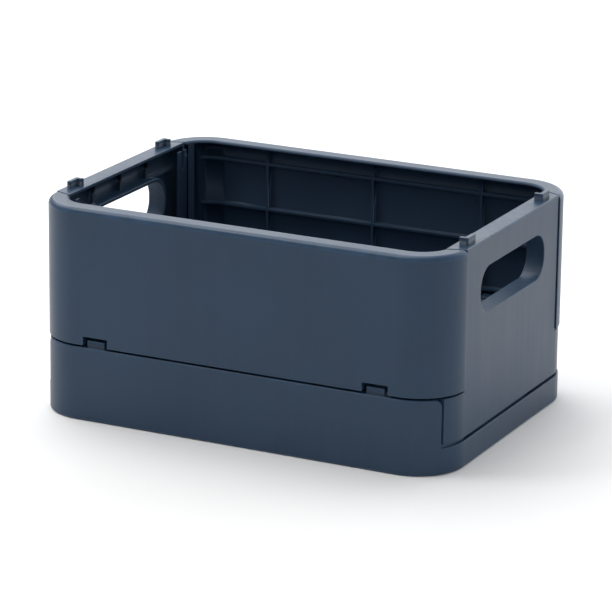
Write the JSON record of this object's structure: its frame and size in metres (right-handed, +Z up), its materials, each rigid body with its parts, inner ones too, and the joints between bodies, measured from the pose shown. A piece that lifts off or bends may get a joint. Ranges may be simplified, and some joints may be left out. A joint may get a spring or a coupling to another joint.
{
  "type": "folding crate",
  "caption": "Open-topped rigid plastic storage crate with rounded upright corners; its hinged walls fold flat over the base tray, with hand holes in the ends and stacking lugs on the rim.",
  "frame": {"origin": "middle of the underside, on the surface that the crate stands on", "axes": "+X along the length, towards the right end wall; +Y along the width, towards the back wall; +Z up"},
  "size_m": [0.36, 0.26, 0.18],
  "materials": {
    "shell": "slate blue moulded polypropylene, satin, with a fine moulded grain",
    "pin": "dark moulded plastic, smooth"
  },
  "bodies": {
    "base": {"base_tray": "shell", "front_left_pin": "pin", "front_right_pin": "pin", "back_left_pin": "pin", "back_right_pin": "pin", "right_front_pin": "pin", "right_back_pin": "pin", "left_front_pin": "pin", "left_back_pin": "pin"},
    "front": {"front_wall": "shell"},
    "back": {"back_wall": "shell"},
    "right_end": {"right_end_wall": "shell"},
    "left_end": {"left_end_wall": "shell"}
  },
  "joints": [
    {"name": "right_end_fold", "type": "hinge", "parent": "base", "child": "right_end", "pos_m": [0.173, 0, 0.0262], "axis": [0, -1, 0], "range_deg": [0, 90]},
    {"name": "left_end_fold", "type": "hinge", "parent": "base", "child": "left_end", "pos_m": [-0.173, 0, 0.0262], "axis": [0, 1, 0], "range_deg": [0, 90]},
    {"name": "front_fold", "type": "hinge", "parent": "base", "child": "front", "pos_m": [0, -0.1095, 0.066], "axis": [-1, 0, 0], "range_deg": [0, 90]},
    {"name": "back_fold", "type": "hinge", "parent": "base", "child": "back", "pos_m": [0, 0.1095, 0.066], "axis": [1, 0, 0], "range_deg": [0, 90]}
  ],
  "couplings": [
    {"joint": "left_end_fold", "follows": "right_end_fold", "ratio": 1},
    {"joint": "front_fold", "follows": "right_end_fold", "ratio": 0.5},
    {"joint": "back_fold", "follows": "right_end_fold", "ratio": 0.5}
  ]
}
